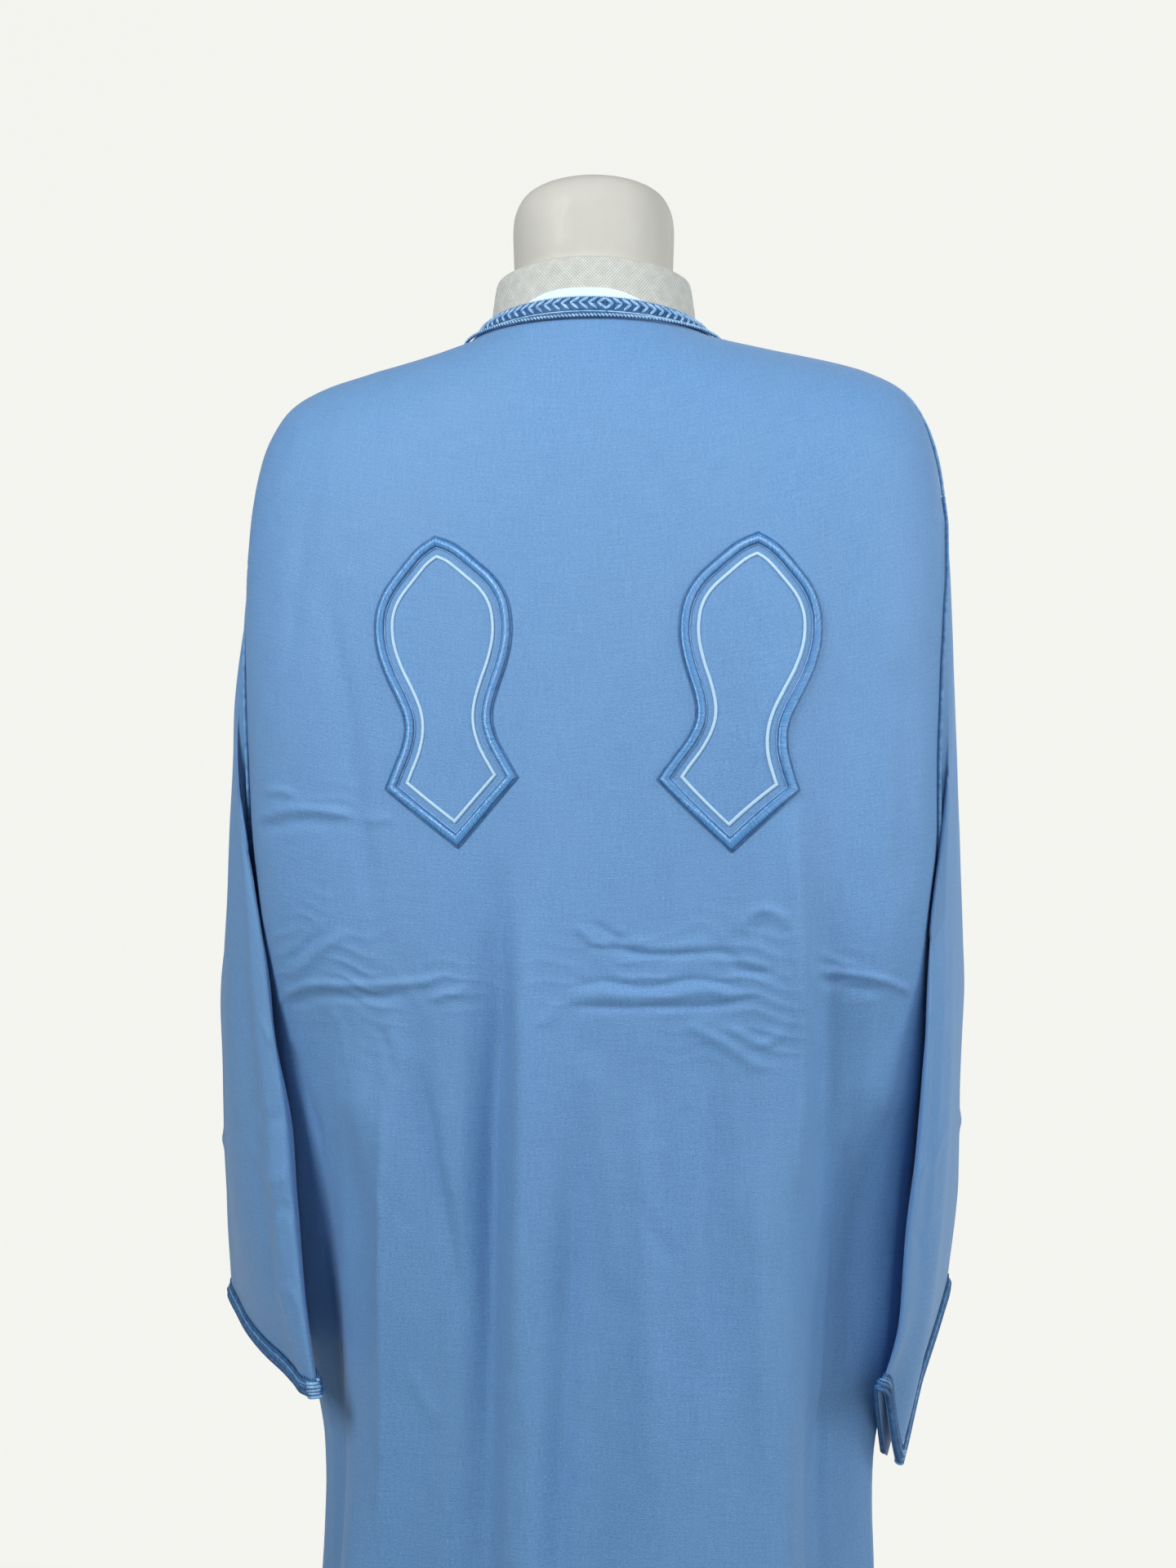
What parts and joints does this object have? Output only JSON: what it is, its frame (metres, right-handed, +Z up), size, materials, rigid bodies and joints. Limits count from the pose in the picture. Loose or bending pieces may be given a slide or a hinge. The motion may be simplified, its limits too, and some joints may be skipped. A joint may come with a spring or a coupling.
{
  "type": "djellaba on dress form",
  "caption": "Long hoodless robe of light blue crepe with wide hanging sleeves, braided neck and cuffs and embroidered sandal outlines on the back, worn by a limbless dress form on a pole stand.",
  "frame": {"origin": "middle of the underside of the stand's base plate, on the floor", "axes": "+Z up, +Y out of the garment's front, -Y out of its back, +X towards the wearer's right"},
  "size_m": [0.6117, 0.37, 1.6385],
  "materials": {
    "crepe": "light blue crepe with a soft satin sheen",
    "braid": "darker blue woven braid",
    "cord": "light blue twisted cord",
    "satin_stitch": "padded satin stitch",
    "pale_stitch": "narrow pale satin stitch",
    "white_strip": "plain pale tape",
    "form_cover": "grey-white cloth cover",
    "steel": "brushed"
  },
  "bodies": {
    "root": {"back_panel": "crepe", "front_panel": "crepe", "sleeve_left": "crepe", "sleeve_right": "crepe", "neck_band": "braid", "neck_strip": "white_strip", "neck_cord": "cord", "shoulder_cord_left": "cord", "shoulder_cord_right": "cord", "armhole_cord_left": "cord", "armhole_cord_right": "cord", "cuff_band_left": "braid", "cuff_band_right": "braid", "sandal_border_left": "satin_stitch", "sandal_border_right": "satin_stitch", "sandal_line_left": "pale_stitch", "sandal_line_right": "pale_stitch", "dress_form": "form_cover", "stand_pole": "steel", "stand_base": "steel"}
  },
  "joints": []
}
